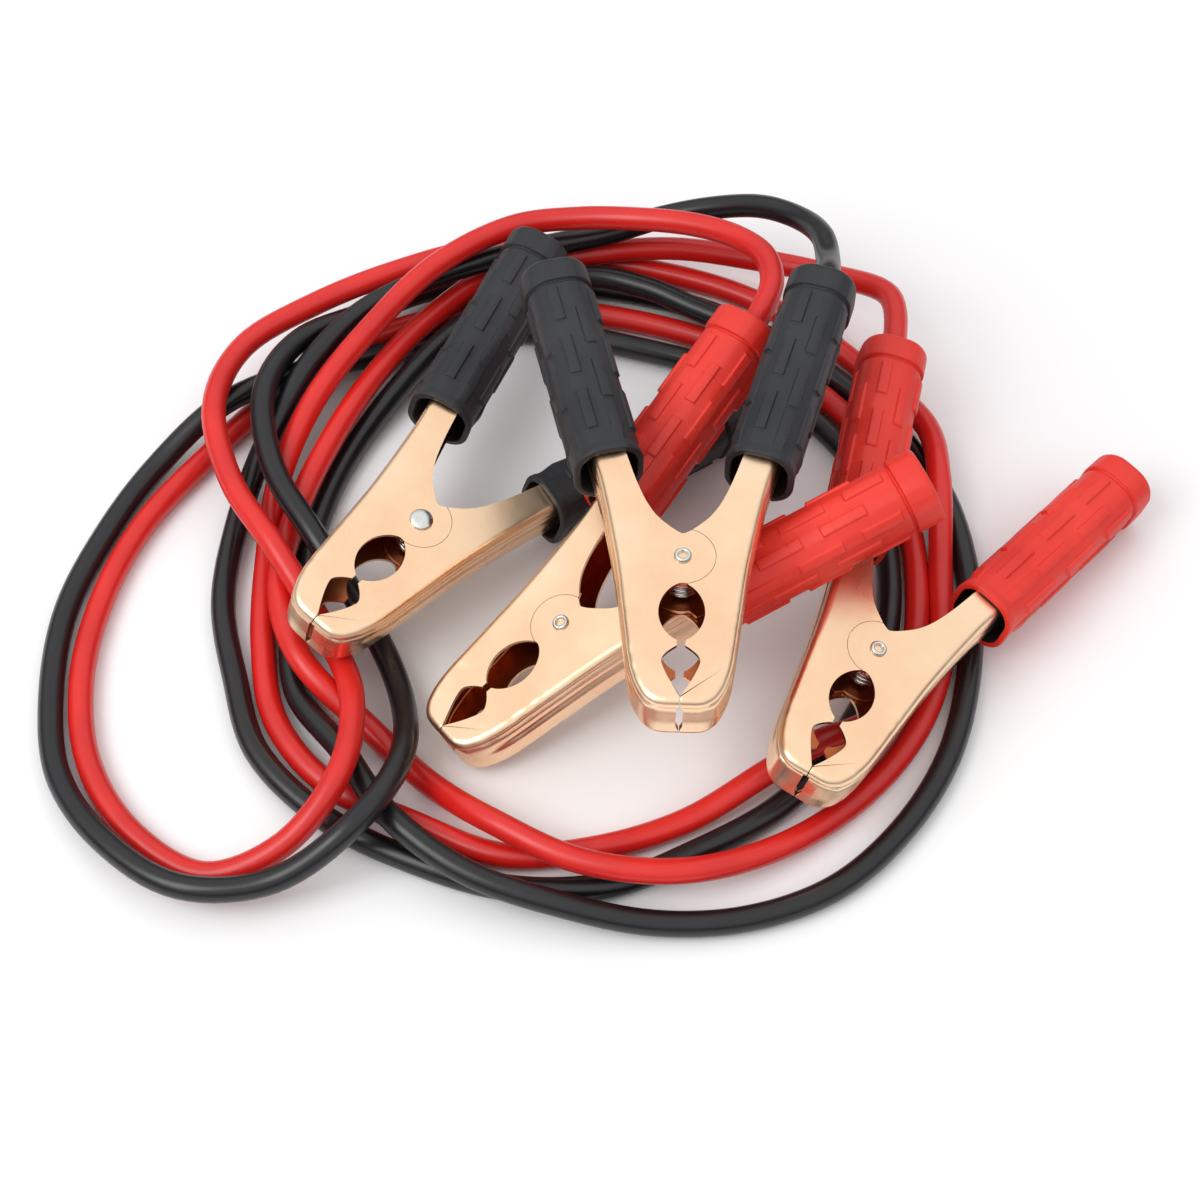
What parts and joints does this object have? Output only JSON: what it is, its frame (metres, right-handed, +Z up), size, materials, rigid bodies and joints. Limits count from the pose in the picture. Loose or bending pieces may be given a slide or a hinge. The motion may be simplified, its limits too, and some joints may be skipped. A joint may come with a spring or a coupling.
{
  "type": "car jumper cable",
  "caption": "Car jumper cable with a red and a black lead, sprung copper coloured battery clamps and ribbed grips, lying loosely coiled.",
  "frame": {"origin": "on the floor under the middle of the box around the four clamps", "axes": "+Z up from the floor; +Y away from the viewer of the picture; +X to the viewer's right; the jaws point towards minus Y"},
  "size_m": [0.3543, 0.2671, 0.0782],
  "materials": {
    "copper_plated_steel": "pressed sheet steel with a thin satin copper coloured plating",
    "zinc_plated_steel": "bright zinc plating on rivets and spring wire",
    "red_grip_plastic": "soft moulded PVC sleeve, satin, with raised bars",
    "black_grip_plastic": "soft moulded PVC sleeve, matte charcoal, with raised bars",
    "red_cable_plastic": "smooth extruded PVC jacket with a soft shine",
    "black_cable_plastic": "smooth extruded PVC jacket with a soft shine"
  },
  "bodies": {
    "cables_and_fixed_halves": {"red_cable": "red_cable_plastic", "black_cable": "black_cable_plastic", "clamp_a_cable_jaw": "copper_plated_steel", "clamp_a_cable_grip": "black_grip_plastic", "clamp_a_rivet": "zinc_plated_steel", "clamp_a_spring": "zinc_plated_steel", "clamp_b_cable_jaw": "copper_plated_steel", "clamp_b_cable_grip": "black_grip_plastic", "clamp_b_rivet": "zinc_plated_steel", "clamp_b_spring": "zinc_plated_steel", "clamp_c_cable_jaw": "copper_plated_steel", "clamp_c_cable_grip": "red_grip_plastic", "clamp_c_rivet": "zinc_plated_steel", "clamp_c_spring": "zinc_plated_steel", "clamp_d_cable_jaw": "copper_plated_steel", "clamp_d_cable_grip": "red_grip_plastic", "clamp_d_rivet": "zinc_plated_steel", "clamp_d_spring": "zinc_plated_steel"},
    "clamp_a_moving_half": {"clamp_a_free_jaw": "copper_plated_steel", "clamp_a_free_grip": "black_grip_plastic"},
    "clamp_b_moving_half": {"clamp_b_free_jaw": "copper_plated_steel", "clamp_b_free_grip": "black_grip_plastic"},
    "clamp_c_moving_half": {"clamp_c_free_jaw": "copper_plated_steel", "clamp_c_free_grip": "red_grip_plastic"},
    "clamp_d_moving_half": {"clamp_d_free_jaw": "copper_plated_steel", "clamp_d_free_grip": "red_grip_plastic"}
  },
  "joints": [
    {"name": "clamp_a_rivet_hinge", "type": "hinge", "parent": "cables_and_fixed_halves", "child": "clamp_a_moving_half", "pos_m": [-0.09821, -0.01089, 0.02866], "axis": [-0.2338, 0.122, -0.9646], "range_deg": [0, 30], "stiffness_Nm_per_rad": 4, "springref_deg": -11.46},
    {"name": "clamp_b_rivet_hinge", "type": "hinge", "parent": "cables_and_fixed_halves", "child": "clamp_b_moving_half", "pos_m": [-0.01641, -0.05189, 0.06636], "axis": [0, 0, -1], "range_deg": [0, 18], "stiffness_Nm_per_rad": 4, "springref_deg": -11.46},
    {"name": "clamp_c_rivet_hinge", "type": "hinge", "parent": "cables_and_fixed_halves", "child": "clamp_c_moving_half", "pos_m": [-0.04981, -0.04689, 0.02476], "axis": [-0.2876, -0.0946, 0.9531], "range_deg": [0, 4], "stiffness_Nm_per_rad": 4, "springref_deg": -11.46},
    {"name": "clamp_d_rivet_hinge", "type": "hinge", "parent": "cables_and_fixed_halves", "child": "clamp_d_moving_half", "pos_m": [0.04179, -0.05819, 0.02676], "axis": [0.2004, -0.0473, 0.9786], "range_deg": [0, 18], "stiffness_Nm_per_rad": 4, "springref_deg": -11.46}
  ]
}
